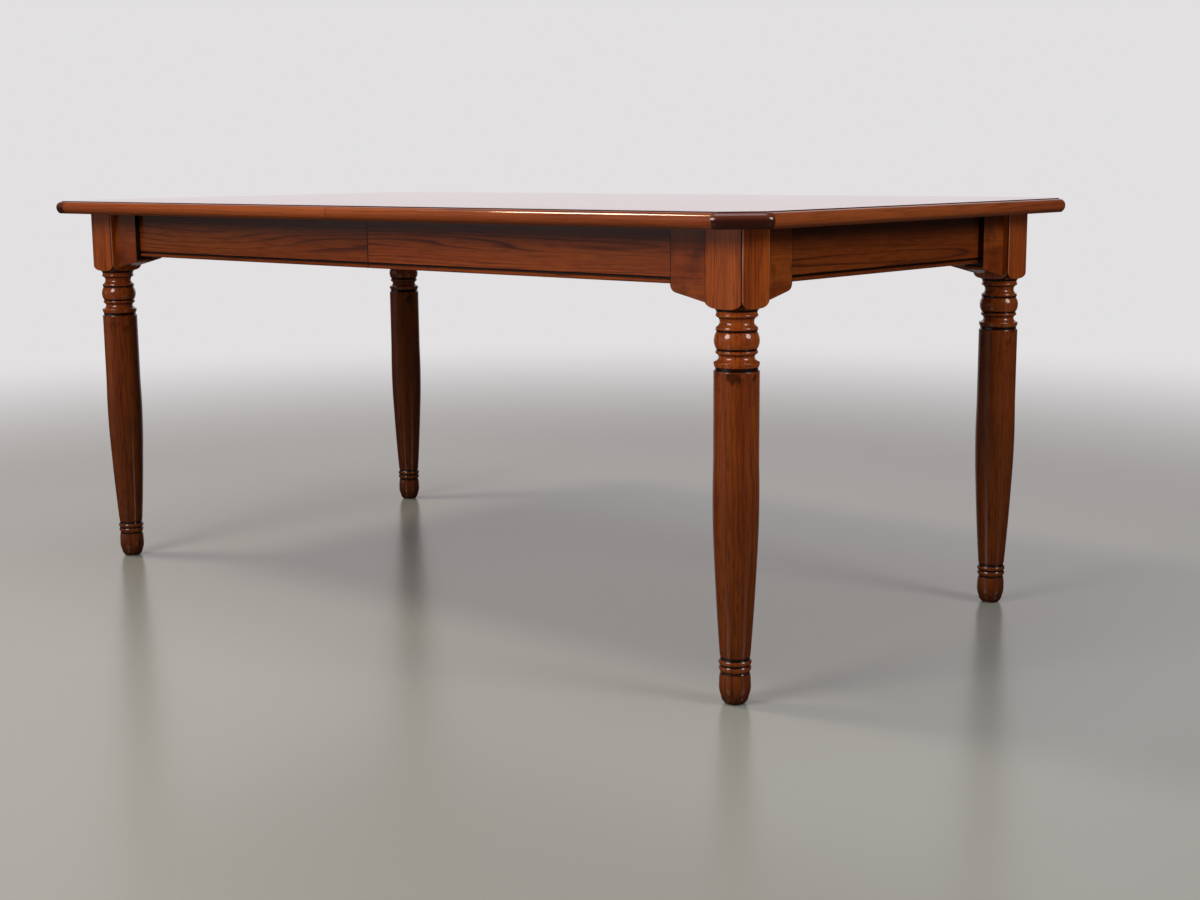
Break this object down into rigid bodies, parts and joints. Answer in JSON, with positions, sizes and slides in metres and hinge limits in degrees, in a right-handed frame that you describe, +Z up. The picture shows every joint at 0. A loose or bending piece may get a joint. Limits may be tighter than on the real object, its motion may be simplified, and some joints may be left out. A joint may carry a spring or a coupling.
{
  "type": "extending dining table",
  "caption": "Extending dining table in red-brown lacquered hardwood with turned legs, clipped top corners, geared wooden slides and a stored leaf.",
  "frame": {"origin": "on the floor under the middle of the closed table top", "axes": "+X along the table's length, towards the right half; +Y across it, towards the back; +Z up"},
  "size_m": [1.8, 1.02, 0.75],
  "materials": {
    "lacquered_top": "gloss",
    "lacquered_frame": "gloss",
    "beech": "satin",
    "nylon": "matte",
    "zinc_steel": "satin"
  },
  "bodies": {
    "centre_frame": {"centre_runner_front": "beech", "centre_runner_back": "beech", "pinion_screws": "zinc_steel", "leaf_bearer_left": "beech", "leaf_bearer_right": "beech", "bearer_screws": "zinc_steel", "leaf": "lacquered_top", "leaf_pins": "beech"},
    "left_half": {"bracket_screws_left": "zinc_steel", "corner_block_left_back": "beech", "corner_block_left_front": "beech", "ear_left_back_end": "lacquered_frame", "ear_left_back_side": "lacquered_frame", "ear_left_front_end": "lacquered_frame", "ear_left_front_side": "lacquered_frame", "end_rail_left": "lacquered_frame", "glides_left": "nylon", "hanger_bolts_left": "zinc_steel", "hook_pivots": "zinc_steel", "leg_left_back": "lacquered_frame", "leg_left_front": "lacquered_frame", "rack_left_back": "nylon", "rack_left_front": "nylon", "runner_left_back": "beech", "runner_left_front": "beech", "runner_screws_left": "zinc_steel", "side_rail_left_back": "lacquered_frame", "side_rail_left_front": "lacquered_frame", "top_brackets_left": "zinc_steel", "top_left": "lacquered_top", "wing_nuts_left": "zinc_steel"},
    "right_half": {"alignment_pins": "beech", "bracket_screws_right": "zinc_steel", "corner_block_right_back": "beech", "corner_block_right_front": "beech", "ear_right_back_end": "lacquered_frame", "ear_right_back_side": "lacquered_frame", "ear_right_front_end": "lacquered_frame", "ear_right_front_side": "lacquered_frame", "end_rail_right": "lacquered_frame", "glides_right": "nylon", "hanger_bolts_right": "zinc_steel", "hook_keepers": "zinc_steel", "leg_right_back": "lacquered_frame", "leg_right_front": "lacquered_frame", "rack_right_back": "nylon", "rack_right_front": "nylon", "runner_right_back": "beech", "runner_right_front": "beech", "runner_screws_right": "zinc_steel", "side_rail_right_back": "lacquered_frame", "side_rail_right_front": "lacquered_frame", "top_brackets_right": "zinc_steel", "top_right": "lacquered_top", "wing_nuts_right": "zinc_steel"},
    "pinion_front": {"pinion_front": "nylon"},
    "pinion_back": {"pinion_back": "nylon"},
    "hook_front": {"hook_front": "zinc_steel"},
    "hook_back": {"hook_back": "zinc_steel"}
  },
  "joints": [
    {"name": "left_slide", "type": "slide", "parent": "centre_frame", "child": "left_half", "axis": [-1, 0, 0], "range_m": [0, 0.225]},
    {"name": "right_slide", "type": "slide", "parent": "centre_frame", "child": "right_half", "axis": [1, 0, 0], "range_m": [0, 0.225]},
    {"name": "pinion_front_turn", "type": "hinge", "parent": "centre_frame", "child": "pinion_front", "pos_m": [0, -0.2816, 0.672], "axis": [0, 0, 1], "range_deg": [-900, 0]},
    {"name": "pinion_back_turn", "type": "hinge", "parent": "centre_frame", "child": "pinion_back", "pos_m": [0, 0.2816, 0.672], "axis": [0, 0, 1], "range_deg": [0, 900]},
    {"name": "hook_front_swing", "type": "hinge", "parent": "left_half", "child": "hook_front", "pos_m": [-0.022, -0.376, 0.7195], "axis": [0, 0, 1], "range_deg": [-90, 0]},
    {"name": "hook_back_swing", "type": "hinge", "parent": "left_half", "child": "hook_back", "pos_m": [-0.022, 0.376, 0.7195], "axis": [0, 0, 1], "range_deg": [0, 90]}
  ],
  "couplings": [
    {"joint": "right_slide", "follows": "left_slide", "ratio": 1},
    {"joint": "pinion_front_turn", "follows": "left_slide", "rad_per_m": -62.5},
    {"joint": "pinion_back_turn", "follows": "left_slide", "rad_per_m": 62.5}
  ]
}
